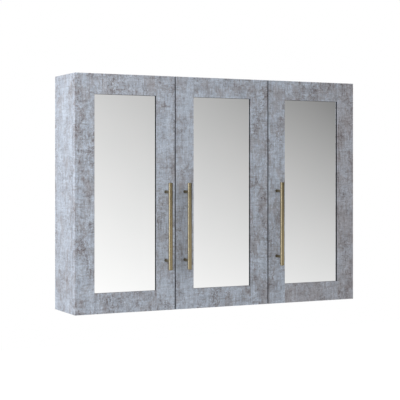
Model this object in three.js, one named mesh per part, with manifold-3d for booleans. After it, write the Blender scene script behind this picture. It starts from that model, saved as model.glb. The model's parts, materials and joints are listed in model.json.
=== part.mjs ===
// A wall-hung bathroom medicine cabinet with three mirror doors, in millimetres.
// X runs right as seen from the front, Y towards the wall, Z up.
// The origin is the centre of the rear face, which hangs against the wall.
import * as THREE from "three";
import { mergeVertices } from "three/addons/utils/BufferGeometryUtils.js";
import Module from "manifold-3d";

const wasm = await Module();
wasm.setup();

// ---- Driving dimensions ----
const WIDTH = 900;
const HEIGHT = 656;
const DEPTH = 160;

const DOOR_THICKNESS = 20;
const DOOR_STANDOFF = 2; // air between the doors' rear faces and the carcass
const DOOR_REVEAL = 3; // air between neighbouring doors
const DOOR_COUNT = 3;
const FRAME_WIDTH = 56; // a stile's or rail's visible width
const REBATE = 8; // how far the backing panel reaches behind the frame
const REBATE_DEPTH = 11; // from the door's front face to the rebate's shoulder
const MIRROR_RECESS = 6;
const MIRROR_THICKNESS = 5;
const MIRROR_GAP_SIDE = 2.6;
const MIRROR_GAP_TOP = 0.7;
const MIRROR_GAP_BOTTOM = 0.5;
const GASKET_SET_BACK = 1.2; // from the mirror's front face
const BACKING_THICKNESS = 6;
const BACKING_PLAY = 0.5;

const BOARD = 16;
const BACK_PANEL = 5;
const HANGING_RAIL_HEIGHT = 70;
const WALL_SCREW_RADIUS = 3;
const WALL_SCREW_X = [-360, 0, 360];
const SHELF_SETBACK = 10;
const SHELF_PLAY = 0.5;
const SHELVES_PER_BAY = 2;
const PIN_RADIUS_IN_BOARD = 2.5; // shelf pins stand in blind holes in the boards
const PIN_HOLE_DEPTH = 7;
const PIN_HOLE_PITCH = 32;
const PIN_HOLE_STEPS = [-1, 0, 1]; // holes below, at and above each shelf's pins
const PIN_ROW_SETBACK = 37; // from the board's front and rear edges

const BAR_RADIUS = 6;
const BAR_LENGTH = 243;
const BAR_STANDOFF = 32; // from the door's front face to the bar's axis
const BAR_CENTRE_Z = -92.5;
const POST_SPACING = 192;
const POST_RADIUS = 4.5;
const FIT_GAP = 0.3;

const HINGE_Z = 228;
const CUP_SETBACK = 22.5; // from the door's edge to the cup's axis
const CUP_RADIUS = 17.5;
const CUP_WALL = 0.9;
const CUP_DEPTH = 11.5;
const CUP_FLOOR = 1;
const FLANGE_RADIUS = 19;
const FLANGE_THICKNESS = 1.2;
const WING_HALF_LENGTH = 28;
const ARM_HALF_WIDTH = 6.3;
const ARM_SKIN = 1.5;
const LINK_HALF_WIDTH = 4.5;
const LINK_RADIUS = 1.15;
const PIN_RADIUS = 1.2;
const PLATE_THICKNESS = 2;

// ---- Places worked out from them ----
const LEFT = -WIDTH / 2;
const RIGHT = WIDTH / 2;
const TOP = HEIGHT / 2;
const BOTTOM = -HEIGHT / 2;
const FRONT = -DEPTH;
const DOOR_REAR = FRONT + DOOR_THICKNESS;
const CARCASS_FRONT = DOOR_REAR + DOOR_STANDOFF;
const DOOR_WIDTH = (WIDTH - (DOOR_COUNT - 1) * DOOR_REVEAL) / DOOR_COUNT;
const PARTITION_X = LEFT + 2 * DOOR_WIDTH + 1.5 * DOOR_REVEAL;
const RAIL_FRONT = -BACK_PANEL - BOARD;

// ---- Materials ----
function finish(color, roughness, metalness) {
  return new THREE.MeshStandardMaterial({ color, roughness, metalness });
}

const decor = finish(0x9a9ea9, 0.7, 0);
const board = finish(0xe9e7e2, 0.6, 0);
const hardboard = finish(0x6b6258, 0.8, 0);
const foam = finish(0x202224, 0.9, 0);
const mirrorGlass = finish(0xdfe3e6, 0.04, 1);
const brass = finish(0xb3a58a, 0.35, 1);
const nickel = finish(0xb9babc, 0.3, 1);

// ---- Solids ----
function solid(geometry) {
  const bare = geometry.index ? geometry.toNonIndexed() : geometry.clone();
  bare.deleteAttribute("normal");
  bare.deleteAttribute("uv");
  const merged = mergeVertices(bare, 1e-4);
  const mesh = new wasm.Mesh({
    numProp: 3,
    vertProperties: merged.attributes.position.array,
    triVerts: new Uint32Array(merged.index.array),
  });
  return new wasm.Manifold(mesh);
}

function box([x0, x1], [y0, y1], [z0, z1]) {
  const geometry = new THREE.BoxGeometry(x1 - x0, y1 - y0, z1 - z0);
  geometry.translate((x0 + x1) / 2, (y0 + y1) / 2, (z0 + z1) / 2);
  return solid(geometry);
}

// A round bar along X from x0 to x1.
function roundX(y, z, radius, [x0, x1], segments = 16) {
  const geometry = new THREE.CylinderGeometry(radius, radius, x1 - x0, segments);
  geometry.rotateZ(Math.PI / 2);
  geometry.translate((x0 + x1) / 2, y, z);
  return solid(geometry);
}

// A round bar along Y from y0 to y1.
function roundY(x, z, radius, [y0, y1], segments = 40) {
  const geometry = new THREE.CylinderGeometry(radius, radius, y1 - y0, segments);
  geometry.translate(x, (y0 + y1) / 2, z);
  return solid(geometry);
}

// A round bar along Z from z0 to z1.
function roundZ(x, y, radius, [z0, z1], segments = 40) {
  const geometry = new THREE.CylinderGeometry(radius, radius, z1 - z0, segments);
  geometry.rotateX(Math.PI / 2);
  geometry.translate(x, y, (z0 + z1) / 2);
  return solid(geometry);
}

// An outline in X and Y, drawn out along Z.
function prism(points, [z0, z1]) {
  const shape = new THREE.Shape(points.map(([x, y]) => new THREE.Vector2(x, y)));
  const geometry = new THREE.ExtrudeGeometry(shape, { depth: z1 - z0, bevelEnabled: false });
  geometry.translate(0, 0, z0);
  return solid(geometry);
}

// The stadium around the line from p to q, as an outline.
function capsule(p, q, radius, steps = 10) {
  const along = Math.atan2(q[1] - p[1], q[0] - p[0]);
  const arc = (centre, start) =>
    Array.from({ length: steps + 1 }, (_, i) => {
      const angle = start + (Math.PI * i) / steps;
      return [centre[0] + radius * Math.cos(angle), centre[1] + radius * Math.sin(angle)];
    });
  return [...arc(p, along + Math.PI / 2), ...arc(q, along - Math.PI / 2)];
}

const cabinet = new THREE.Group();

function add(name, shape, material) {
  const { numProp, vertProperties, triVerts } = shape.getMesh();
  const geometry = new THREE.BufferGeometry();
  const positions = new THREE.InterleavedBuffer(vertProperties, numProp);
  geometry.setAttribute("position", new THREE.InterleavedBufferAttribute(positions, 3, 0));
  geometry.setIndex(new THREE.BufferAttribute(triVerts, 1));
  const plain = geometry.toNonIndexed();
  plain.computeVertexNormals();
  const mesh = new THREE.Mesh(plain, material);
  mesh.name = name;
  cabinet.add(mesh);
}

// ---- Carcass ----
const INNER_HEIGHT = [BOTTOM + BOARD, TOP - BOARD];
const SHELF_PITCH = (HEIGHT - BOARD) / (SHELVES_PER_BAY + 1);
const SHELF_UNDERSIDES = Array.from(
  { length: SHELVES_PER_BAY },
  (_, i) => BOTTOM + (i + 1) * SHELF_PITCH,
);

// Drills the shelf-pin holes into a board's face at x, which looks along facing (1 or -1).
function drillPinHoles(board, x, facing) {
  const ends = [x + facing, x - facing * PIN_HOLE_DEPTH];
  let drilled = board;
  for (const y of [CARCASS_FRONT + PIN_ROW_SETBACK, -PIN_ROW_SETBACK]) {
    for (const underside of SHELF_UNDERSIDES) {
      for (const step of PIN_HOLE_STEPS) {
        const z = underside - PIN_RADIUS_IN_BOARD + step * PIN_HOLE_PITCH;
        const span = [Math.min(...ends), Math.max(...ends)];
        drilled = drilled.subtract(roundX(y, z, PIN_RADIUS_IN_BOARD, span));
      }
    }
  }
  return drilled;
}

function addCarcass() {
  const depth = [CARCASS_FRONT, 0];
  const inside = [LEFT + BOARD, RIGHT - BOARD];
  const leftSide = box([LEFT, inside[0]], depth, [BOTTOM, TOP]);
  const rightSide = box([inside[1], RIGHT], depth, [BOTTOM, TOP]);
  add("side_panel_left", drillPinHoles(leftSide, inside[0], 1), decor);
  add("side_panel_right", drillPinHoles(rightSide, inside[1], -1), decor);
  add("top_panel", box(inside, depth, [INNER_HEIGHT[1], TOP]), decor);
  add("bottom_panel", box(inside, depth, [BOTTOM, INNER_HEIGHT[0]]), decor);

  const partitionFaces = [PARTITION_X - BOARD / 2, PARTITION_X + BOARD / 2];
  let backPanel = box(inside, [-BACK_PANEL, 0], INNER_HEIGHT);
  let partition = box(partitionFaces, [CARCASS_FRONT, -BACK_PANEL], INNER_HEIGHT);
  partition = drillPinHoles(partition, partitionFaces[0], -1);
  partition = drillPinHoles(partition, partitionFaces[1], 1);
  for (const [level, side] of Object.entries({ upper: 1, lower: -1 })) {
    const far = side > 0 ? INNER_HEIGHT[1] : INNER_HEIGHT[0];
    const near = far - side * HANGING_RAIL_HEIGHT;
    const band = [Math.min(near, far), Math.max(near, far)];
    let rail = box(inside, [RAIL_FRONT, -BACK_PANEL], band);
    for (const x of WALL_SCREW_X) {
      const drill = roundY(x, (near + far) / 2, WALL_SCREW_RADIUS, [RAIL_FRONT - 1, 1], 16);
      rail = rail.subtract(drill);
      backPanel = backPanel.subtract(drill);
    }
    // The partition is notched round the rail, with a little play.
    const notchEnds = [near - side * FIT_GAP, far + side];
    const notch = box(
      [partitionFaces[0] - 1, partitionFaces[1] + 1],
      [RAIL_FRONT - FIT_GAP, 1],
      [Math.min(...notchEnds), Math.max(...notchEnds)],
    );
    partition = partition.subtract(notch);
    add(`hanging_rail_${level}`, rail, board);
  }
  add("back_panel", backPanel, board);
  add("partition", partition, board);

  const bays = {
    left: [inside[0] + SHELF_PLAY, partitionFaces[0] - SHELF_PLAY],
    right: [partitionFaces[1] + SHELF_PLAY, inside[1] - SHELF_PLAY],
  };
  const shelfDepth = [CARCASS_FRONT + SHELF_SETBACK, -BACK_PANEL - SHELF_PLAY];
  for (const [bay, span] of Object.entries(bays)) {
    SHELF_UNDERSIDES.forEach((underside, i) => {
      const level = ["lower", "upper"][i];
      const shelf = box(span, shelfDepth, [underside, underside + BOARD]);
      add(`shelf_${bay}_${level}`, shelf, board);
    });
  }
}

// ---- Doors ----
// Each door has its hinges on one edge and its handle on the other.
const doors = ["left", "middle", "right"].map((name, i) => {
  const x0 = LEFT + i * (DOOR_WIDTH + DOOR_REVEAL);
  const x1 = x0 + DOOR_WIDTH;
  const inward = name === "left" ? 1 : -1; // X direction from the hinge edge into the door
  return {
    name,
    x0,
    x1,
    inward,
    hingeEdge: inward > 0 ? x0 : x1,
    freeEdge: inward > 0 ? x1 : x0,
  };
});

// The carcass face that each door's hinge arms are screwed to.
const mountingFace = {
  left: LEFT + BOARD,
  middle: PARTITION_X - BOARD / 2,
  right: RIGHT - BOARD,
};

// A frame member: a full-width front layer and a rear layer that is set back by the rebate.
function layered(front, rear) {
  return box(front.x, [FRONT, FRONT + REBATE_DEPTH], front.z).add(
    box(rear.x, [FRONT + REBATE_DEPTH, DOOR_REAR], rear.z),
  );
}

function addDoor(door) {
  const prefix = `door_${door.name}`;
  const inner = FRAME_WIDTH - REBATE;
  const full = [BOTTOM, TOP];
  const opening = [door.x0 + FRAME_WIDTH, door.x1 - FRAME_WIDTH];
  const pocket = [door.x0 + inner, door.x1 - inner];
  const pocketZ = [BOTTOM + inner, TOP - inner];

  const stiles = {
    [door.x0]: layered(
      { x: [door.x0, opening[0]], z: full },
      { x: [door.x0, pocket[0]], z: full },
    ),
    [door.x1]: layered(
      { x: [opening[1], door.x1], z: full },
      { x: [pocket[1], door.x1], z: full },
    ),
  };
  const boreAxis = door.hingeEdge + door.inward * CUP_SETBACK;
  for (const z of [-HINGE_Z, HINGE_Z]) {
    const depth = [DOOR_REAR - CUP_DEPTH - FIT_GAP, DOOR_REAR + 1];
    const bore = roundY(boreAxis, z, CUP_RADIUS + FIT_GAP, depth);
    stiles[door.hingeEdge] = stiles[door.hingeEdge].subtract(bore);
  }
  add(`${prefix}_stile_left`, stiles[door.x0], decor);
  add(`${prefix}_stile_right`, stiles[door.x1], decor);

  const topRail = layered(
    { x: opening, z: [TOP - FRAME_WIDTH, TOP] },
    { x: pocket, z: [TOP - inner, TOP] },
  );
  const bottomRail = layered(
    { x: opening, z: [BOTTOM, BOTTOM + FRAME_WIDTH] },
    { x: pocket, z: [BOTTOM, BOTTOM + inner] },
  );
  add(`${prefix}_rail_top`, topRail, decor);
  add(`${prefix}_rail_bottom`, bottomRail, decor);

  const mirrorX = [opening[0] + MIRROR_GAP_SIDE, opening[1] - MIRROR_GAP_SIDE];
  const mirrorTop = TOP - FRAME_WIDTH - MIRROR_GAP_TOP;
  const mirrorFront = FRONT + MIRROR_RECESS;
  const mirrorRear = mirrorFront + MIRROR_THICKNESS;
  const mirror = box(
    mirrorX,
    [mirrorFront, mirrorRear],
    [BOTTOM + FRAME_WIDTH + MIRROR_GAP_BOTTOM, mirrorTop],
  );
  add(`${prefix}_mirror`, mirror, mirrorGlass);

  // The gasket fills the gaps beside and above the mirror, which nearly meets the bottom rail.
  const gasketY = [mirrorFront + GASKET_SET_BACK, mirrorRear];
  const gasket = box(opening, gasketY, [BOTTOM + FRAME_WIDTH, TOP - FRAME_WIDTH]).subtract(
    box(mirrorX, [FRONT, DOOR_REAR], [BOTTOM, mirrorTop]),
  );
  add(`${prefix}_gasket`, gasket, foam);

  const backing = box(
    [pocket[0] + BACKING_PLAY, pocket[1] - BACKING_PLAY],
    [FRONT + REBATE_DEPTH, FRONT + REBATE_DEPTH + BACKING_THICKNESS],
    [pocketZ[0] + BACKING_PLAY, pocketZ[1] - BACKING_PLAY],
  );
  add(`${prefix}_backing`, backing, hardboard);
}

// ---- Handles ----
function addHandle(door) {
  const prefix = `handle_${door.name}`;
  const x = door.freeEdge - (door.inward * FRAME_WIDTH) / 2;
  const y = FRONT - BAR_STANDOFF;
  const span = [BAR_CENTRE_Z - BAR_LENGTH / 2, BAR_CENTRE_Z + BAR_LENGTH / 2];
  add(`${prefix}_bar`, roundZ(x, y, BAR_RADIUS, span, 48), brass);
  const saddle = roundZ(x, y, BAR_RADIUS + FIT_GAP, [span[0] - 1, span[1] + 1], 48);
  for (const [level, side] of Object.entries({ upper: 1, lower: -1 })) {
    const z = BAR_CENTRE_Z + (side * POST_SPACING) / 2;
    const post = roundY(x, z, POST_RADIUS, [y + 2, FRONT], 32);
    add(`${prefix}_post_${level}`, post.subtract(saddle), brass);
  }
}

// ---- Hinges ----
// u runs from the door's hinge edge into the door, v from the door's front face to the wall.
const LINK_PIVOT = [34, 13.5];
const LINK_BEND = [16.4, 11.9];
const LINK_TIP = [12, 14];
// The arm's side towards the room, then its side towards the carcass board.
const ARM_ROOM_SIDE = [[36.9, 13.5], [36.5, 20], [31.5, 28]];
const ARM_BOARD_SIDE = [[31.1, 13.5], [29, 20], [23, 25]];
const ARM_TAIL_ROOM = [31, 36];
const ARM_TAIL_BOARD = [22, 33];
const ARM_END_V = 90;
const ARM_SKIN_START_V = 17.5;
const PLATE_SPAN_V = [50, 68];
const PLATE_HALF_HEIGHT = 22;
const BLOCK_SPAN_V = [46, 86];
const FULL_OVERLAY_FACE = 16; // u of the carcass board's face where the arm has no extra crank

function addHinge(door, level, z) {
  const prefix = `hinge_${door.name}_${level}`;
  const place = ([u, v]) => [door.hingeEdge + door.inward * u, FRONT + v];
  const outline = (points) => points.map(place);
  const band = (half) => [z - half, z + half];
  const spanX = (u0, u1) => {
    const ends = [place([u0, 0])[0], place([u1, 0])[0]];
    return [Math.min(...ends), Math.max(...ends)];
  };

  // The cup, with its flange and two screw wings.
  const [cupX] = place([CUP_SETBACK, 0]);
  const rear = DOOR_REAR + FLANGE_THICKNESS;
  const bottom = DOOR_REAR - CUP_DEPTH;
  const cup = roundY(cupX, z, CUP_RADIUS, [bottom, DOOR_REAR + FLANGE_THICKNESS / 2], 48)
    .add(roundY(cupX, z, FLANGE_RADIUS, [DOOR_REAR, rear], 48))
    .add(box(spanX(CUP_SETBACK + 1, CUP_SETBACK + 17), [DOOR_REAR, rear], band(WING_HALF_LENGTH)))
    .subtract(roundY(cupX, z, CUP_RADIUS - CUP_WALL, [bottom + CUP_FLOOR, rear + 1], 48));
  add(`${prefix}_cup`, cup, nickel);

  // The arm: two cheeks, a skin over them, the link's pin, and the plate on the carcass board.
  const face = door.inward * (mountingFace[door.name] - door.hingeEdge);
  const crank = FULL_OVERLAY_FACE - face;
  const roomSide = [
    ...ARM_ROOM_SIDE,
    [ARM_TAIL_ROOM[0] - crank, ARM_TAIL_ROOM[1]],
    [ARM_TAIL_ROOM[0] - crank, ARM_END_V],
  ];
  const boardSide = [
    ...ARM_BOARD_SIDE,
    [ARM_TAIL_BOARD[0] - crank, ARM_TAIL_BOARD[1]],
    [ARM_TAIL_BOARD[0] - crank, ARM_END_V],
  ];
  const cheek = outline([...roomSide, ...boardSide.toReversed()]);
  const nose = capsule(place(LINK_PIVOT), place([34, 16]), 2.9);
  const skinSide = [[36.7, ARM_SKIN_START_V], ...roomSide.slice(1)];
  const skin = outline([
    ...skinSide,
    ...skinSide.map(([u, v]) => [u - ARM_SKIN, v]).toReversed(),
  ]);
  let arm = prism(skin, band(ARM_HALF_WIDTH));
  for (const side of [-1, 1]) {
    const edges = [z + side * (ARM_HALF_WIDTH - ARM_SKIN), z + side * ARM_HALF_WIDTH];
    const layer = [Math.min(...edges), Math.max(...edges)];
    arm = arm.add(prism(cheek, layer)).add(prism(nose, layer));
  }
  const pin = place(LINK_PIVOT);
  arm = arm
    .add(roundZ(pin[0], pin[1], PIN_RADIUS, band(ARM_HALF_WIDTH - ARM_SKIN / 2), 20))
    .add(box(spanX(face, 24 - crank), BLOCK_SPAN_V.map((v) => FRONT + v), band(ARM_HALF_WIDTH)))
    .add(
      box(
        spanX(face, face + PLATE_THICKNESS),
        PLATE_SPAN_V.map((v) => FRONT + v),
        band(PLATE_HALF_HEIGHT),
      ),
    );
  add(`${prefix}_arm`, arm, nickel);

  // The link turns on the arm's pin and reaches into the cup.
  const eye = roundZ(pin[0], pin[1], 2.6, band(LINK_HALF_WIDTH), 32);
  const hole = roundZ(pin[0], pin[1], PIN_RADIUS + FIT_GAP, band(LINK_HALF_WIDTH + 1), 20);
  const link = eye
    .add(prism(capsule(pin, place(LINK_BEND), LINK_RADIUS), band(LINK_HALF_WIDTH)))
    .add(prism(capsule(place(LINK_BEND), place(LINK_TIP), LINK_RADIUS), band(LINK_HALF_WIDTH)))
    .subtract(hole);
  add(`${prefix}_link`, link, nickel);
}

addCarcass();
for (const door of doors) {
  addDoor(door);
  addHandle(door);
  addHinge(door, "upper", HINGE_Z);
  addHinge(door, "lower", -HINGE_Z);
}

export default cabinet;
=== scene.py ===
# Looks for a wall-hung medicine cabinet with three mirror doors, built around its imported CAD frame.
import bpy
import bmesh
import json
import math
from mathutils import Matrix, Vector


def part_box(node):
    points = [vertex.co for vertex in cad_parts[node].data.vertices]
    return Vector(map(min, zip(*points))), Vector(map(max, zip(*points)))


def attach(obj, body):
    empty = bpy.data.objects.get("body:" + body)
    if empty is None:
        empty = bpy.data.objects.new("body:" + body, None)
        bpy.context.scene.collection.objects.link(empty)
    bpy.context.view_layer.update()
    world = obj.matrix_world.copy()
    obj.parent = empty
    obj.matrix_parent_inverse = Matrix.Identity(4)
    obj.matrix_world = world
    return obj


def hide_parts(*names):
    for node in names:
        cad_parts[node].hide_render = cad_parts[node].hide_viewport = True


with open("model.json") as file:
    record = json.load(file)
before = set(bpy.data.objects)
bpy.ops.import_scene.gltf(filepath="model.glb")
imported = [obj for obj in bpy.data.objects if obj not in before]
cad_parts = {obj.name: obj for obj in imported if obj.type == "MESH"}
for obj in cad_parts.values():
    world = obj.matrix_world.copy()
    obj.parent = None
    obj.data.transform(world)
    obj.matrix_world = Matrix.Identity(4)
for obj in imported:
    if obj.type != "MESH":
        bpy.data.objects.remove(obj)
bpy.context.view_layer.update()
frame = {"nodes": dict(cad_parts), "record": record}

DOORS = ("left", "middle", "right")
LEVELS = ("upper", "lower")
MM = 0.001


# ---- Node materials ----
class Nodes:
    """A node tree, with short calls to add and join its nodes."""

    def __init__(self, tree):
        self.tree = tree

    def node(self, kind, inputs=None, **settings):
        made = self.tree.nodes.new(kind)
        for key, value in settings.items():
            setattr(made, key, value)
        for key, value in (inputs or {}).items():
            self.feed(made.inputs[key], value)
        return made

    def feed(self, socket, value):
        if isinstance(value, bpy.types.NodeSocket):
            self.tree.links.new(value, socket)
        else:
            socket.default_value = value

    def math(self, operation, *values):
        return self.node("ShaderNodeMath", dict(enumerate(values)), operation=operation).outputs[0]

    def clamp(self, value, low, high):
        return self.node("ShaderNodeClamp", {0: value, 1: low, 2: high}).outputs[0]

    def ramp(self, value, low, high, to_low=0.0, to_high=1.0, shape="LINEAR"):
        """A value's way from low to high, as a number from to_low to to_high."""
        inputs = {0: value, 1: low, 2: high, 3: to_low, 4: to_high}
        return self.node("ShaderNodeMapRange", inputs, interpolation_type=shape).outputs[0]


class Shader(Nodes):
    """A material's node tree."""

    def __init__(self, name):
        self.material = bpy.data.materials.new(name)
        self.material.use_nodes = True
        super().__init__(self.material.node_tree)
        self.surface = self.tree.nodes["Principled BSDF"]

    def place(self, scale=(1, 1, 1), slide=0.0):
        """The object's own coordinates in metres, scaled, and slid along by the object's colour."""
        point = self.node("ShaderNodeTexCoord").outputs["Object"]
        if slide:
            colour = self.node("ShaderNodeObjectInfo").outputs["Color"]
            moved = self.node("ShaderNodeVectorMath", {0: colour, 1: (slide,) * 3}, operation="MULTIPLY")
            added = self.node("ShaderNodeVectorMath", {0: point, 1: moved.outputs[0]}, operation="ADD")
            point = added.outputs[0]
        return self.node("ShaderNodeMapping", {"Vector": point, "Scale": scale}).outputs[0]

    def place_xyz(self):
        """The object's own X, Y and Z in metres."""
        return self.node("ShaderNodeSeparateXYZ", {0: self.place()}).outputs

    def noise(self, vector, scale, detail=4.0, roughness=0.55, distortion=0.0):
        inputs = {
            "Vector": vector,
            "Scale": scale,
            "Detail": detail,
            "Roughness": roughness,
            "Distortion": distortion,
        }
        return self.node("ShaderNodeTexNoise", inputs).outputs["Fac"]

    def spread(self, value, low, high, to_low=0.0, to_high=1.0):
        return self.ramp(value, low, high, to_low, to_high, "SMOOTHSTEP")

    def mix(self, factor, a, b, blend="MIX"):
        made = self.node("ShaderNodeMix", data_type="RGBA", blend_type=blend)
        self.feed(made.inputs["Factor"], factor)
        self.feed(made.inputs["A"], a)
        self.feed(made.inputs["B"], b)
        return made.outputs["Result"]

    def bump(self, height, distance, strength=1.0):
        inputs = {"Height": height, "Distance": distance, "Strength": strength}
        self.feed(self.surface.inputs["Normal"], self.node("ShaderNodeBump", inputs).outputs[0])

    def set(self, **values):
        for key, value in values.items():
            self.feed(self.surface.inputs[key.replace("_", " ")], value)


def srgb(r, g, b):
    """A screen colour, 0 to 255 a channel, as the linear colour a shader takes."""

    def linear(c):
        c = c / 255
        return c / 12.92 if c <= 0.04045 else ((c + 0.055) / 1.055) ** 2.4

    return (linear(r), linear(g), linear(b), 1.0)


# Melamine printed as weathered concrete.
PALE = srgb(210, 220, 234)
MIDDLE = srgb(190, 199, 213)
BROWN = srgb(160, 151, 150)
WARM = srgb(198, 194, 198)
DARK = srgb(112, 100, 99)
BROWN_LINE = srgb(128, 114, 111)
BRIGHT = srgb(235, 241, 248)
# Painted shade for the door edges in the gaps between doors.
GAP_SHADE_COLOUR = srgb(58, 58, 64)
# Painted shade for the faces of each door's opening beside and above its mirror.
MIRROR_RECESS_SHADE = srgb(50, 54, 58)
PRINT_SLIDE = 9.0  # metres that the print slides as a board's colour goes from 0 to 1
EVEN = (1, 1, 1)
RARER = 0.01  # how much further the noise has to rise for a level mark than for an upright one


def upright(share):
    """A scale that draws noise out upwards."""
    return (1, 1, share)


def sideways(share):
    """A scale that draws noise out sideways."""
    return (share, share, 1)


def printed(s, scale, *settings):
    """Noise in a board's print: its size per metre, detail, roughness and distortion."""
    return s.noise(s.place(scale, PRINT_SLIDE), *settings)


def decor_ground(s, wear):
    """The print's woven blue-grey with its wide brown stains. The weave and the stains come with it."""
    weave = s.math("ADD", printed(s, upright(0.18), 70, 8, 0.8), printed(s, sideways(0.18), 70, 8, 0.8))
    weave = s.math("MULTIPLY", weave, 0.5)
    colour = s.mix(s.spread(weave, 0.4, 0.6), MIDDLE, PALE)
    wide = s.math("ADD", printed(s, upright(0.6), 22, 10, 0.78, 0.2), s.math("MULTIPLY", wear, 0.1))
    stain = s.spread(wide, 0.5, 0.64)
    colour = s.mix(s.math("MULTIPLY", stain, 0.5), colour, BROWN)
    colour = s.mix(s.spread(wear, 0.45, 0.95, 0.0, 0.45), colour, WARM)
    return colour, weave, stain


def crossed_marks(s, share, settings, low, high):
    """Short marks both ways across the print, the level ones a little rarer."""
    standing = s.spread(printed(s, upright(share), *settings), low, high)
    lying = s.spread(printed(s, sideways(share), *settings), low + RARER, high + RARER)
    return s.math("MAXIMUM", standing, lying)


def decor_marks(s, colour, weave, strength):
    """Scratches, veins, pits and pale flecks over the print's ground. The pits come with it."""
    scratch = crossed_marks(s, 0.2, (150, 6, 0.7, 0.3), 0.52, 0.6)
    scratch = s.math("MULTIPLY", scratch, s.spread(weave, 0.42, 0.58, 1.0, 0.25))
    scratch = s.math("MULTIPLY", scratch, strength)
    colour = s.mix(s.math("MULTIPLY", scratch, 0.36), colour, BROWN_LINE)

    patch = s.spread(printed(s, upright(0.6), 21, 8, 0.76), 0.45, 0.6)
    ridge = s.math("ABSOLUTE", s.math("SUBTRACT", printed(s, EVEN, 60, 5, 0.6, 0.5), 0.5))
    veins = s.math("MULTIPLY", s.spread(ridge, 0.008, 0.03, 1.0, 0.0), patch)
    veins = s.math("MULTIPLY", veins, strength)
    colour = s.mix(s.math("MULTIPLY", veins, 0.45), colour, BROWN_LINE)

    pits = s.math("MULTIPLY", patch, crossed_marks(s, 0.4, (170, 7, 0.8, 0.3), 0.51, 0.6))
    pits = s.math("MULTIPLY", pits, strength)
    colour = s.mix(s.math("MULTIPLY", pits, 0.52), colour, DARK)

    flecks = s.spread(printed(s, EVEN, 190, 5, 0.75), 0.56, 0.68)
    return s.mix(s.math("MULTIPLY", flecks, 0.35), colour, BRIGHT), pits


def concrete_decor():
    """Melamine printed as weathered concrete: pale blue-grey, brown-grey stains, pitting, fine lines.
    The object's colour slides the print along, and its alpha says how stained that board is."""
    s = Shader("concrete_decor")
    wear = s.node("ShaderNodeObjectInfo").outputs["Alpha"]
    strength = s.spread(wear, 0.1, 0.4, 0.5, 1.5)
    colour, weave, stain = decor_ground(s, wear)
    colour, pits = decor_marks(s, colour, weave, strength)

    fine = printed(s, upright(0.07), 200, 5, 0.75)
    cross = printed(s, sideways(0.09), 200, 5, 0.75)
    grit = s.math("SUBTRACT", printed(s, EVEN, 260, 5, 0.8), 0.5)
    grain = s.math("ADD", s.spread(fine, 0.35, 0.65, 0.86, 1.04), s.spread(cross, 0.35, 0.65, -0.08, 0.06))
    grain = s.math("ADD", grain, s.math("MULTIPLY", grit, strength))
    grey = s.node("ShaderNodeCombineColor", {0: grain, 1: grain, 2: grain}).outputs[0]
    colour = s.mix(1.0, colour, grey, "MULTIPLY")

    # Painted shade: darker door edges in the gaps between doors.
    colour = s.mix(painted_gap_shade(s), colour, GAP_SHADE_COLOUR)
    # Painted shade: darker faces of each door's opening beside and above its mirror.
    colour = s.mix(painted_recess_shade(s), colour, MIRROR_RECESS_SHADE)
    s.set(Base_Color=colour, Roughness=s.spread(stain, 0, 1, 0.5, 0.62), Specular_IOR_Level=0.35)
    s.bump(s.math("ADD", s.math("MULTIPLY", fine, 0.6), s.math("MULTIPLY", pits, -0.8)), 0.00015, 0.5)
    return s.material


def painted_gap_shade(s):
    """How much painted shade darkens the door edges in the gaps where two doors meet. It is 0 elsewhere.
    """
    across, depth, _ = s.place_xyz()
    door_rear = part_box("door_left_stile_left")[1].y
    found = 0.0
    for left, right in zip(DOORS, DOORS[1:]):
        gap_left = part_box(f"door_{left}_stile_right")[1].x
        gap_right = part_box(f"door_{right}_stile_left")[0].x
        reach = (gap_right - gap_left) / 2 + 0.5 * MM
        found = s.math("MAXIMUM", s.math("COMPARE", across, (gap_left + gap_right) / 2, reach), found)
    on_door = s.math("LESS_THAN", depth, door_rear + 1 * MM)
    return s.math("MULTIPLY", s.math("MULTIPLY", found, on_door), 0.6)


# Where the painted shade in each door's opening starts.
RECESS_SHADE_START = 2.8 * MM  # from the door's front face
ON_FACE = 0.2 * MM  # how near a point is to a face that it is on


def painted_recess_shade(s):
    """How much painted shade darkens the faces of a door's opening beside and above its mirror."""
    across, depth, height = s.place_xyz()
    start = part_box("door_left_stile_left")[0].y + RECESS_SHADE_START
    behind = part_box("door_left_mirror")[1].y
    inside = s.math("MULTIPLY", s.math("GREATER_THAN", depth, start), s.math("LESS_THAN", depth, behind))
    under_rail = s.math("COMPARE", height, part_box("door_left_rail_top")[0].z, ON_FACE)
    found = 0.0
    for door in DOORS:
        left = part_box(f"door_{door}_stile_left")[1].x
        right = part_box(f"door_{door}_stile_right")[0].x
        for side in (left, right):
            found = s.math("MAXIMUM", s.math("COMPARE", across, side, ON_FACE), found)
        above = s.math("COMPARE", across, (left + right) / 2, (right - left) / 2)
        found = s.math("MAXIMUM", s.math("MULTIPLY", above, under_rail), found)
    return s.math("MULTIPLY", s.math("MULTIPLY", found, inside), 0.9)


def white_board():
    """Plain satin melamine with a faint pearl texture."""
    s = Shader("white_board")
    cloud = s.noise(s.place(), 9, 4)
    pearl = s.noise(s.place(), 900, 3, 0.6)
    colour = s.mix(s.spread(cloud, 0.3, 0.7), srgb(226, 225, 222), srgb(234, 233, 230))
    s.set(Base_Color=colour, Roughness=s.spread(pearl, 0.3, 0.7, 0.38, 0.5))
    s.bump(pearl, 0.0001, 0.35)
    return s.material


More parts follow.
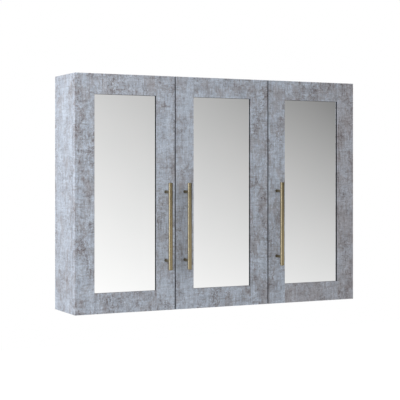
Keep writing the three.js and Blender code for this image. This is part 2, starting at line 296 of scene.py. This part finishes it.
def hardboard():
    """A sealed fibreboard, pale and pressed behind; its black front is painted shade for the gap round the
    mirror.
    """
    s = Shader("hardboard")
    depth = s.place_xyz()[1]
    low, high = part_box("door_left_backing")
    behind = s.math("GREATER_THAN", depth, (low.y + high.y) / 2)
    fibre = s.noise(s.place((1, 1, 2.5)), 700, 5, 0.7)
    back = s.mix(s.spread(fibre, 0.3, 0.7), srgb(176, 170, 160), srgb(198, 193, 184))
    # The black front stands in for the shade in the gap round the mirror: painted shade.
    s.set(Base_Color=s.mix(behind, srgb(34, 36, 38), back), Roughness=0.75)
    s.bump(fibre, 0.0002, 0.4)
    return s.material


def mirror_glass():
    """Silvered float glass, with a breath of unevenness."""
    s = Shader("mirror_glass")
    drift = s.noise(s.place(), 6, 2)
    colour = s.mix(s.spread(drift, 0.3, 0.7), (0.90, 0.905, 0.90, 1), (0.915, 0.915, 0.91, 1))
    s.set(Base_Color=colour, Metallic=1.0, Roughness=0.012)
    return s.material


def brushed_brass():
    """Champagne brass with a satin finish, with painted shade that darkens it to brown towards the door.
    """
    s = Shader("brushed_brass")
    cloud = s.noise(s.place(), 60, 3)
    colour = s.mix(s.spread(cloud, 0.3, 0.7), srgb(163, 148, 114), srgb(171, 156, 122))
    depth = s.place_xyz()[1]
    bar_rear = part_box("handle_left_bar")[1].y
    door_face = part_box("door_left_stile_left")[0].y
    # Painted shade: the brass turns dark brown towards the door face.
    colour = s.mix(s.spread(depth, bar_rear, door_face, 0.0, 0.6), colour, srgb(78, 62, 38))
    s.set(Base_Color=colour, Metallic=1.0, Roughness=s.spread(cloud, 0.3, 0.7, 0.24, 0.27))
    return s.material


def nickel_steel():
    """Bright nickel plate with a little cloudiness."""
    s = Shader("nickel_steel")
    cloud = s.noise(s.place(), 120, 4)
    colour = s.mix(s.spread(cloud, 0.3, 0.7), srgb(196, 196, 196), srgb(214, 214, 212))
    s.set(Base_Color=colour, Metallic=1.0, Roughness=s.spread(cloud, 0.3, 0.7, 0.23, 0.27))
    s.bump(s.noise(s.place((1, 0.3, 1)), 1500, 2), 0.00001, 0.12)
    return s.material


def black_foam():
    """Closed-cell black foam strip."""
    s = Shader("black_foam")
    cells = s.noise(s.place(), 1400, 3, 0.6)
    s.set(Base_Color=s.mix(s.spread(cells, 0.3, 0.7), srgb(22, 24, 26), srgb(38, 40, 42)), Roughness=0.85)
    s.bump(cells, 0.0001, 0.4)
    return s.material


MATERIALS = {
    "black_foam": black_foam(),
    "concrete_decor": concrete_decor(),
    "white_board": white_board(),
    "hardboard": hardboard(),
    "mirror_glass": mirror_glass(),
    "brushed_brass": brushed_brass(),
    "nickel_steel": nickel_steel(),
}


# ---- CAD nodes ----
# The width and the steps of each material's rounded edges.
EDGE = {
    "concrete_decor": (0.6 * MM, 3),
    "white_board": (0.5 * MM, 2),
    "hardboard": (0.4 * MM, 2),
    "mirror_glass": (0.8 * MM, 2),
    "brushed_brass": (0.4 * MM, 3),
    "nickel_steel": (0.25 * MM, 2),
    "black_foam": (0.3 * MM, 2),
}

# How stained the decor is on the nodes whose names start so.
WEAR = {
    "door_left_rail_top": 0.6,
    "door_left_stile_right": 0.3,
    "door_left": 0.42,
    "door_middle_stile_left": 0.27,
    "door_middle_rail_top": 0.3,
    "door_middle": 0.44,
    "door_right_stile_left": 0.3,
    "door_right_rail_top": 0.6,
    "door_right": 0.82,
    "side_panel_left": 0.25,
}
USUAL_WEAR = 0.4
EDGE_ANGLE = math.radians(40)  # an edge that turns more than this is rounded


def smooth(obj, angle=math.radians(35)):
    obj.data.polygons.foreach_set("use_smooth", [True] * len(obj.data.polygons))
    obj.data.set_sharp_from_angle(angle=angle)


def round_edges(obj, width, segments):
    bevel = obj.modifiers.new("edge", "BEVEL")
    bevel.width = width
    bevel.segments = segments
    bevel.limit_method = "ANGLE"
    bevel.angle_limit = EDGE_ANGLE
    return bevel


def dress_nodes():
    """Gives each CAD node its slot's material and rounds its edges."""
    slots = {part["node"]: part["material_slot"] for part in frame["record"]["subparts"]}
    for order, (name, obj) in enumerate(sorted(frame["nodes"].items())):
        obj.data.materials.clear()
        obj.data.materials.append(MATERIALS[slots[name]])
        # A different colour for each board slides the printed decor along, so no two look alike.
        wear = next((value for start, value in WEAR.items() if name.startswith(start)), USUAL_WEAR)
        obj.color = ((order * 0.37) % 1, (order * 0.61) % 1, (order * 0.83) % 1, wear)
        round_edges(obj, *EDGE[slots[name]]).harden_normals = True
        smooth(obj)


dress_nodes()


# ---- Mesh building ----
X_AXIS = Vector((1, 0, 0))
Y_AXIS = Vector((0, 1, 0))
Z_AXIS = Vector((0, 0, 1))


def facing(origin, direction, up=Z_AXIS):
    """Places a shape whose own +Z points along direction, and whose own +Y is as near up as it can be."""
    z = Vector(direction).normalized()
    x = Vector(up).cross(z).normalized()
    y = z.cross(x)
    turn = Matrix((x, y, z)).transposed().to_4x4()
    return Matrix.Translation(Vector(origin)) @ turn


def shifted(place, x, y, z):
    """A place moved by x, y and z in mm, along its own axes."""
    return place @ Matrix.Translation(Vector((x, y, z)) * MM)


def ring(bm, place, reach, height, steps):
    """Vertices round +Z, in mm. The reach is a radius, or a function that gives one for an angle.
    A reach of 0 is one vertex on the axis."""
    if reach == 0:
        return [bm.verts.new(place @ (Vector((0, 0, height)) * MM))]
    made = []
    for i in range(steps):
        angle = 2 * math.pi * i / steps
        radius = reach(angle) if callable(reach) else reach
        point = Vector((radius * math.cos(angle), radius * math.sin(angle), height))
        made.append(bm.verts.new(place @ (point * MM)))
    return made


def skin(bm, rings):
    """Joins each ring to the next."""
    for low, high in zip(rings, rings[1:]):
        steps = max(len(low), len(high))
        for i in range(steps):
            j = (i + 1) % steps
            if len(low) == 1:
                bm.faces.new((low[0], high[j], high[i]))
            elif len(high) == 1:
                bm.faces.new((low[i], low[j], high[0]))
            else:
                bm.faces.new((low[i], low[j], high[j], high[i]))


def lathe(bm, place, profile, steps=40):
    """Turns a profile of (radius, height) pairs in mm round +Z. It starts and ends on the axis."""
    skin(bm, [ring(bm, place, radius, height, steps) for radius, height in profile])


def slab(bm, place, outline, low, high):
    """An outline of (x, y) points in mm, anticlockwise, made solid from height low to high."""
    under = [bm.verts.new(place @ (Vector((x, y, low)) * MM)) for x, y in outline]
    over = [bm.verts.new(place @ (Vector((x, y, high)) * MM)) for x, y in outline]
    bm.faces.new(list(reversed(under)))
    bm.faces.new(over)
    count = len(outline)
    for i in range(count):
        j = (i + 1) % count
        bm.faces.new((under[i], under[j], over[j], over[i]))


def rounded(width, height, radius, steps=6):
    """A rounded rectangle's outline about the origin."""
    points = []
    for quarter, (sx, sy) in enumerate(((1, 1), (-1, 1), (-1, -1), (1, -1))):
        for i in range(steps + 1):
            angle = (quarter + i / steps) * math.pi / 2
            x = sx * (width / 2 - radius) + radius * math.cos(angle)
            y = sy * (height / 2 - radius) + radius * math.sin(angle)
            points.append((x, y))
    return points


def piece(name, bm, slot, body, replaced=(), bevel=0.0):
    """Turns a bmesh into a piece that rides on a CAD body and takes a record slot's finish."""
    bmesh.ops.recalc_face_normals(bm, faces=bm.faces)
    mesh = bpy.data.meshes.new(name)
    bm.to_mesh(mesh)
    bm.free()
    obj = bpy.data.objects.new(name, mesh)
    bpy.context.scene.collection.objects.link(obj)
    mesh.materials.append(MATERIALS[slot])
    if bevel:
        round_edges(obj, bevel * MM, 2)
    smooth(obj, EDGE_ANGLE)
    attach(obj, body)
    if replaced:
        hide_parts(*replaced)
    return obj


# A screw head's side and crown, as shares of its radius and height.
SCREW_DOME = ((1.0, 0.0), (1.0, 0.3), (0.93, 0.62), (0.78, 0.86), (0.66, 0.94))
SCREW_STEPS = 32


def screw_head(bm, place, radius, height):
    """A domed screw head with a cross recess, standing on the place's plane."""
    arm = radius * 0.58
    half = radius * 0.14
    depth = height * 0.45
    dome = [ring(bm, place, radius * r, height * h, SCREW_STEPS) for r, h in SCREW_DOME]
    skin(bm, dome)
    # The cross: each of its twelve corners, anticlockwise from the right arm's lower corner.
    corners = []
    for quarter in range(4):
        turn = Matrix.Rotation(quarter * math.pi / 2, 3, "Z")
        for x, y in ((arm, -half), (arm, half), (half, half)):
            corners.append(turn @ Vector((x, y, 0)))
    top = [bm.verts.new(place @ ((c + Vector((0, 0, height))) * MM)) for c in corners]
    base = [bm.verts.new(place @ ((c * 0.8 + Vector((0, 0, height - depth))) * MM)) for c in corners]
    for i in range(12):
        j = (i + 1) % 12
        bm.faces.new((top[i], top[j], base[j], base[i]))
    bm.faces.new(base)
    edges = []
    for loop in (dome[-1], top):
        edges += [bm.edges.get(pair) for pair in zip(loop, loop[1:] + loop[:1])]
    bmesh.ops.triangle_fill(bm, edges=edges, use_beauty=True)
    bm.faces.new(list(reversed(dome[0])))


# ---- Handles, in mm ----
BAR_CHAMFER = 0.7
BAR_DIMPLE = 0.15  # how far the middle of the bar's end is sunk
POST_NECK = 0.92  # the post's waist, as a share of its radius
POST_END = 2.5  # how far from the bar's axis the post ends, inside the bar
HANDLE_WASHER = 0.5


def bar_profile(radius, length):
    """A bar's eased end, its mirror image, and the straight between them."""
    c = BAR_CHAMFER
    end = [(0, BAR_DIMPLE), (radius - 2.2 * c, BAR_DIMPLE), (radius - 1.6 * c, 0), (radius - c, 0)]
    for i in range(5):
        angle = math.pi / 2 * i / 4
        end.append((radius - c + c * math.sin(angle), c - c * math.cos(angle)))
    return end + [(r, length - h) for r, h in reversed(end)]


def post_profile(radius, length):
    """A post's foot on the door, its waist, and a slight swelling where it enters the bar."""
    neck = radius * POST_NECK
    foot = [(0, 0), (radius - 0.2, 0), (radius, 0.2), (radius, 1.4), (radius - 0.2, 1.7)]
    waist = [(neck + 0.2, 2.4), (neck, 3.4), (neck, length - 4.5)]
    return foot + waist + [(neck + 0.2, length - 3.2), (neck + 0.2, length), (0, length)]


def add_handle(door):
    """A round bar with eased ends, on two turned posts with a foot on the door."""
    bar = f"handle_{door}_bar"
    low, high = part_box(bar)
    axis = (low + high) / 2
    bm = bmesh.new()
    profile = bar_profile((high.x - low.x) / 2 / MM, (high.z - low.z) / MM)
    lathe(bm, Matrix.Translation((axis.x, axis.y, low.z)), profile, 64)
    piece(f"{bar}_turned", bm, "brushed_brass", f"door_{door}", [bar])

    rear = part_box(f"door_{door}_stile_left")[1].y
    for level_name in LEVELS:
        post = f"handle_{door}_post_{level_name}"
        low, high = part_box(post)
        middle = (low + high) / 2
        bm = bmesh.new()
        profile = post_profile((high.z - low.z) / 2 / MM, (high.y - axis.y) / MM - POST_END)
        lathe(bm, facing((middle.x, high.y, middle.z), -Y_AXIS), profile)
        piece(f"{post}_turned", bm, "brushed_brass", f"door_{door}", [post])

        bm = bmesh.new()
        place = facing((middle.x, rear, middle.z), Y_AXIS)
        lathe(bm, place, [(0, 0), (6, 0), (6, 0.35), (5.7, HANDLE_WASHER), (0, HANDLE_WASHER)])
        screw_head(bm, shifted(place, 0, 0, HANDLE_WASHER), radius=4.2, height=1.2)
        piece(f"handle_{door}_screw_{level_name}", bm, "nickel_steel", f"door_{door}")


# ---- Hinges, in mm ----
CUP_RADIUS = 17.5
CUP_WALL = 0.9
CUP_STEPS = 96
FLANGE_RADIUS = 19.0
FLANGE_THICKNESS = 1.2
FLANGE_EASE = 0.35
WING_IN = 0.5  # how far the screw wings reach from the cup's axis, towards the door's edge
WING_OUT = 17.0  # and away from it
WING_HALF_LENGTH = 27.5
WING_CORNER = 2.5  # how softly the wings' corners are rounded
WING_SCREW = (9.5, 22.5)  # from the cup's axis, into the door and along its edge
PLATE_THICKNESS = 2
PLATE_SCREW_Z = 16.0  # above and below the arm's middle
PLATE_SCREW_DEPTH = 59  # from the door's front face
ARM_HEIGHT = 15  # from the board to the arm's outside
ARM_SCREWS = ((52, 3.0), (78, 3.4))  # each one's depth from the door's front face, and its radius


def flange_reach(angle):
    """How far a cup's flange reaches at an angle: its round rim, or its screw wings."""
    c = math.cos(angle)
    s = math.sin(angle)
    side = (WING_OUT if c > 0 else WING_IN) / max(abs(c), 1e-6)
    end = WING_HALF_LENGTH / max(abs(s), 1e-6)
    # A softened corner: the reach shrinks where both limits are nearly equal.
    near = math.exp(-((side - end) ** 2) / (2 * WING_CORNER**2))
    return max(FLANGE_RADIUS, min(side, end) - 0.8 * WING_CORNER * near)


def add_cup(door, level_name, inward):
    """A pressed cup with a rolled rim and two screw wings, and the screws in them."""
    node = f"hinge_{door}_{level_name}_cup"
    low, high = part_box(node)
    edge_x = low.x if inward > 0 else high.x
    centre = Vector((edge_x + inward * FLANGE_RADIUS * MM, high.y, (low.z + high.z) / 2))
    # Own +Z looks out of the cup, towards the wall; own +X looks into the door.
    into_door = Vector((inward, 0, 0))
    turn = Matrix((into_door, Y_AXIS.cross(into_door), Y_AXIS)).transposed().to_4x4()
    place = Matrix.Translation(centre) @ turn

    floor = (low.y - high.y) / MM
    inner = CUP_RADIUS - CUP_WALL
    inside = [(0, floor + 1.0), (inner - 2.0, floor + 1.0), (inner - 0.6, floor + 1.6)]
    inside += [(inner, floor + 3.0), (inner, -0.5), (inner + 0.25, -0.1), (inner + 0.8, 0.0)]
    outside = [(CUP_RADIUS, -FLANGE_THICKNESS), (CUP_RADIUS, floor + 1.5)]
    outside += [(CUP_RADIUS - 0.4, floor + 0.4), (CUP_RADIUS - 1.5, floor), (0, floor)]
    rim = [
        (lambda angle: flange_reach(angle) - FLANGE_EASE, 0.0),
        (flange_reach, -FLANGE_EASE),
        (flange_reach, 0.25 - FLANGE_THICKNESS),
        (lambda angle: flange_reach(angle) - FLANGE_EASE, -FLANGE_THICKNESS),
    ]
    bm = bmesh.new()
    lathe(bm, place, inside + rim + outside, CUP_STEPS)
    piece(f"{node}_pressed", bm, "nickel_steel", f"door_{door}", [node])

    bm = bmesh.new()
    for side in (-1, 1):
        spot = shifted(place, WING_SCREW[0], side * WING_SCREW[1], 0)
        screw_head(bm, spot, radius=3.6, height=1.5)
    piece(f"{node}_screws", bm, "nickel_steel", f"door_{door}")


def add_arm_screws(door, level_name, inward):
    """The plate's two screws and the arm's two adjusting screws."""
    low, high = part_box(f"hinge_{door}_{level_name}_arm")
    z = (low.z + high.z) / 2
    board_x = low.x if inward > 0 else high.x
    out = Vector((inward, 0, 0))
    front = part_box(f"door_{door}_stile_left")[0].y
    bm = bmesh.new()
    for side in (-1, 1):
        at = Vector((board_x, front + PLATE_SCREW_DEPTH * MM, z + side * PLATE_SCREW_Z * MM))
        screw_head(bm, facing(at + out * PLATE_THICKNESS * MM, out), radius=4.0, height=2.0)
    for depth, radius in ARM_SCREWS:
        at = Vector((board_x, front + depth * MM, z))
        screw_head(bm, facing(at + out * ARM_HEIGHT * MM, out), radius, height=1.4)
    piece(f"hinge_{door}_{level_name}_arm_screws", bm, "nickel_steel", "carcass")


# ---- Door furniture, in mm ----
CLIP_SPREAD = 150  # from the door's middle to its side clips
CLIP_WIDTH = 11.0
CLIP_THICKNESS = 1.2
CLIP_TONGUE = 9.0
CLIP_FOOT = 12.0
CLIP_MIDDLE = 5.2  # from the backing's edge to the middle of the tongue or the foot
CLIP_SCREW = 5.6
CLIP_GAP = 0.05  # between the tongue and the backing
RISER = (-2.0, -0.8)  # from the backing's edge, where the tongue steps up to the foot
BUMPER_FROM_SIDE = 24
BUMPER_FROM_END = 8


def add_clips(door):
    """Six turn clips that hold the backing in its rebate, each with its screw."""
    low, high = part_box(f"door_{door}_backing")
    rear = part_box(f"door_{door}_stile_left")[1].y
    centre = (low + high) / 2
    step = (rear - high.y) / MM
    sides = (-CLIP_SPREAD * MM, CLIP_SPREAD * MM)
    spots = [(low.x, z, -X_AXIS) for z in sides]
    spots += [(high.x, z, X_AXIS) for z in sides]
    spots += [(centre.x, low.z, -Z_AXIS), (centre.x, high.z, Z_AXIS)]
    half = CLIP_WIDTH / 2
    near, far = RISER
    riser = [(-half, near), (half, near), (half, far), (-half, far)]
    clips = bmesh.new()
    screws = bmesh.new()
    for x, z, outward in spots:
        # Own +Z looks to the wall, own +Y away from the mirror.
        place = facing((x, rear, z), Y_AXIS, up=outward)
        tongue = rounded(CLIP_WIDTH, CLIP_TONGUE, 2.5)
        tongue_place = shifted(place, 0, -CLIP_MIDDLE, -step)
        slab(clips, tongue_place, tongue, CLIP_GAP, CLIP_GAP + CLIP_THICKNESS)
        slab(clips, place, riser, CLIP_GAP - step, CLIP_THICKNESS)
        foot = rounded(CLIP_WIDTH, CLIP_FOOT, 3.0)
        slab(clips, shifted(place, 0, CLIP_MIDDLE, 0), foot, 0.0, CLIP_THICKNESS)
        screw_head(screws, shifted(place, 0, CLIP_SCREW, 0), radius=3.0, height=1.85)
    piece(f"door_{door}_backing_clips", clips, "nickel_steel", f"door_{door}", bevel=0.2)
    piece(f"door_{door}_clip_screws", screws, "nickel_steel", f"door_{door}")


def add_bumpers(door, inward):
    """Two soft domes that the door's free edge closes on."""
    low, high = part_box(f"door_{door}_stile_left")
    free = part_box(f"door_{door}_stile_right")[1].x if inward > 0 else low.x
    dome = [(0, 0), (4.2, 0), (4.2, 0.5), (3.8, 1.0), (2.9, 1.4), (1.6, 1.62), (0, 1.7)]
    bm = bmesh.new()
    for side in (-1, 1):
        x = free - inward * BUMPER_FROM_SIDE * MM
        lathe(bm, facing((x, high.y, side * (high.z - BUMPER_FROM_END * MM)), Y_AXIS), dome, 32)
    piece(f"door_{door}_bumpers", bm, "black_foam", f"door_{door}")


# ---- Carcass furniture, in mm ----
PIN_ROW = 37  # from a board's front or rear edge to its row of pins or caps
PIN_DROP = 2.5  # from the shelf's underside to its pins' axes
SHELF_GAP = 0.5  # between a shelf's end and the board that its pins are in
WASHER = 1.3
WALL_SCREW_X = (-360, 0, 360)
CAP_RADIUS = 8.5
CAP_REACH = 34.0  # how far a cam fitting is from the board that it holds
CAP_FROM_RAIL = 14
PANEL_PIN_INSET = 9


def add_shelf_pins(bay, level_name):
    """Four steel pins under a shelf, each in its hole in the boards."""
    low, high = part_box(f"shelf_{bay}_{level_name}")
    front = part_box("side_panel_left")[0].y
    stem = [(0, -6.5), (2.0, -6.5), (2.4, -6.0), (2.4, 8.0), (2.1, 8.6), (1.4, 9.0), (0, 9.1)]
    bm = bmesh.new()
    for x, out in ((low.x, X_AXIS), (high.x, -X_AXIS)):
        for y in (front + PIN_ROW * MM, -PIN_ROW * MM):
            hole = Vector((x, y, low.z - PIN_DROP * MM)) - out * SHELF_GAP * MM
            lathe(bm, facing(hole, out), stem, 24)
    piece(f"shelf_{bay}_{level_name}_pins", bm, "nickel_steel", "carcass")


def add_wall_screws(level_name):
    """The washers and screws in a hanging rail's three holes."""
    low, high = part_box(f"hanging_rail_{level_name}")
    washer = [(0, 0), (7.5, 0), (7.5, WASHER - 0.3), (7.2, WASHER), (0, WASHER)]
    shank = [(0, -20.5), (2.4, -20.5), (2.4, -0.1), (0, -0.1)]
    bm = bmesh.new()
    for x in WALL_SCREW_X:
        place = facing((x * MM, low.y, (low.z + high.z) / 2), -Y_AXIS)
        lathe(bm, place, washer)
        screw_head(bm, shifted(place, 0, 0, WASHER), radius=5.0, height=3.0)
        lathe(bm, place, shank, 24)
    piece(f"hanging_rail_{level_name}_screws", bm, "nickel_steel", "carcass")


def add_cover_caps(panel, inward):
    """Printed caps over the cam fittings that hold the top or bottom panel to the upright boards."""
    low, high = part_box(panel)
    face = high.z if inward > 0 else low.z
    partition_low, partition_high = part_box("partition")
    rail_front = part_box("hanging_rail_lower")[0].y
    r = CAP_RADIUS
    cap = [(0, 0), (r, 0), (r, 0.5), (r - 0.6, 1.1), (r - 1.6, 1.4), (0, 1.5)]
    reach = CAP_REACH * MM
    bm = bmesh.new()
    for x in (low.x + reach, partition_low.x - reach, partition_high.x + reach, high.x - reach):
        for y in (low.y + PIN_ROW * MM, rail_front - CAP_FROM_RAIL * MM):
            lathe(bm, facing((x, y, face), inward * Z_AXIS, up=Y_AXIS), cap)
    caps = piece(f"{panel}_cover_caps", bm, "concrete_decor", "carcass")
    caps.color = frame["nodes"][panel].color


def add_back_pins():
    """The row of panel pins round the back panel's edge."""
    low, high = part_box("back_panel")
    inset = PANEL_PIN_INSET * MM
    left, right = low.x + inset, high.x - inset
    bottom, top = low.z + inset, high.z - inset
    across, up = 8, 6  # how many spaces the pins leave along each edge
    spots = []
    for i in range(across + 1):
        x = left + (right - left) * i / across
        spots += [(x, bottom), (x, top)]
    for i in range(1, up):
        z = bottom + (top - bottom) * i / up
        spots += [(left, z), (right, z)]
    head = [(0, -0.4), (1.7, -0.4), (1.7, 0.03), (1.3, 0.08), (0, 0.08)]
    bm = bmesh.new()
    for x, z in spots:
        lathe(bm, facing((x, high.y, z), Y_AXIS), head, 16)
    piece("back_panel_pins", bm, "nickel_steel", "carcass")


for door in DOORS:
    inward = 1 if door == "left" else -1  # from the hinged edge into the door, along X
    add_handle(door)
    add_clips(door)
    add_bumpers(door, inward)
    for level_name in LEVELS:
        add_cup(door, level_name, inward)
        add_arm_screws(door, level_name, inward)
for level_name in LEVELS:
    for bay in ("left", "right"):
        add_shelf_pins(bay, level_name)
    add_wall_screws(level_name)
add_cover_caps("bottom_panel", 1)
add_cover_caps("top_panel", -1)
add_back_pins()


# ---- Camera, light and floor ----
def add_camera(location, heading, lens, shift):
    """A level camera, turned from +Y towards +X by heading degrees."""
    data = bpy.data.cameras.new("camera")
    data.lens = lens
    data.shift_y = shift
    camera = bpy.data.objects.new("camera", data)
    camera.location = location
    camera.rotation_euler = (math.radians(90), 0, math.radians(-heading))
    bpy.context.scene.collection.objects.link(camera)
    bpy.context.scene.camera = camera


def add_area(name, location, target, size, power, colour=(1, 1, 1), shines=False):
    """An area light, either for matt surfaces or, if it shines, only for reflections."""
    data = bpy.data.lights.new(name, "AREA")
    data.shape = "RECTANGLE"
    data.size, data.size_y = size
    data.energy = power
    data.color = colour
    light = bpy.data.objects.new(name, data)
    light.location = location
    aim = Vector(target) - Vector(location)
    light.rotation_euler = aim.to_track_quat("-Z", "Y").to_euler()
    light.visible_glossy = shines
    light.visible_diffuse = not shines
    bpy.context.scene.collection.objects.link(light)


# The studio that mirrors show: how bright it is straight ahead and level, and how that changes with
# the direction's slope to the right, its slope upwards, and the two together.
STUDIO_AHEAD = 1.373
STUDIO_RIGHTWARDS = -1.366
STUDIO_UPWARDS = -0.906
STUDIO_BOTH = -3.102
ROOM = 0.36  # how bright the dim part of the studio is
SOFT_LIGHT = 0.39  # the world's light on matt surfaces


def add_world():
    """White behind the object, soft grey for light, and in what shines a studio that darkens
    upwards, rightwards and far below."""
    world = bpy.data.worlds.new("studio")
    bpy.context.scene.world = world
    world.use_nodes = True
    world.node_tree.nodes.clear()
    w = Nodes(world.node_tree)

    direction = w.node("ShaderNodeTexCoord").outputs["Generated"]
    x, y, z = w.node("ShaderNodeSeparateXYZ", {0: direction}).outputs
    ahead = w.math("MAXIMUM", w.math("ABSOLUTE", y), 0.05)
    across = w.clamp(w.math("DIVIDE", x, ahead), -0.2, 0.95)
    up = w.clamp(w.math("DIVIDE", z, ahead), -0.15, 0.12)
    level_shade = w.math("MULTIPLY_ADD", across, STUDIO_RIGHTWARDS, STUDIO_AHEAD)
    slope = w.math("MULTIPLY_ADD", across, STUDIO_BOTH, STUDIO_UPWARDS)
    shade = w.clamp(w.math("ADD", level_shade, w.math("MULTIPLY", up, slope)), 0.12, 1.1)
    shine = w.math("MULTIPLY", shade, w.ramp(z, -0.5, -0.12, 0.35, 1.0))
    # Off to the left, where only round things look, a dim room that is paler below.
    room = w.ramp(z, -0.55, -0.05, 0.8, ROOM)

    def blend(factor, a, b):
        return w.node("ShaderNodeMix", {"Factor": factor, "A": a, "B": b}, data_type="FLOAT").outputs[0]

    path = w.node("ShaderNodeLightPath").outputs
    strength = blend(path["Is Glossy Ray"], SOFT_LIGHT, blend(w.ramp(x, -0.1, 0.3), room, shine))
    strength = blend(path["Is Camera Ray"], strength, 1.0)
    background = w.node("ShaderNodeBackground", {"Color": (1, 1, 1, 1), "Strength": strength})
    w.node("ShaderNodeOutputWorld", {0: background.outputs[0]})


def add_floor(half, height):
    """A plain pale floor well below the hanging cabinet."""
    mesh = bpy.data.meshes.new("floor")
    corners = [(x * half, y * half, height) for x, y in ((-1, -1), (1, -1), (1, 1), (-1, 1))]
    mesh.from_pydata(corners, [], [(0, 1, 2, 3)])
    floor = bpy.data.objects.new("floor", mesh)
    bpy.context.scene.collection.objects.link(floor)
    white = (1, 1, 1, 1)
    s = Shader("floor")
    s.set(Base_Color=(0.9, 0.9, 0.9, 1), Roughness=0.9, Emission_Color=white, Emission_Strength=0.75)
    mesh.materials.append(s.material)
    floor.visible_glossy = False
    floor.visible_diffuse = False


add_camera(location=(-1.5257, -3.0540, 0.0645), heading=26.661, lens=102.4, shift=-0.0748)
add_world()
add_floor(half=12.0, height=-2.4)
add_area("key", (-2.4, -1.15, 0.8), target=(-0.2, -0.1, 0.0), size=(1.5, 1.5), power=56)
add_area(
    "strip",
    (-2.6, -0.7, -0.1),
    target=(0, -0.19, -0.1),
    size=(1.0, 1.8),
    power=15,
    colour=(0.9, 0.98, 1.23),
    shines=True,
)

view = bpy.context.scene.view_settings
view.view_transform = "Standard"
view.look = "None"
view.exposure = 0.0
view.gamma = 1.0
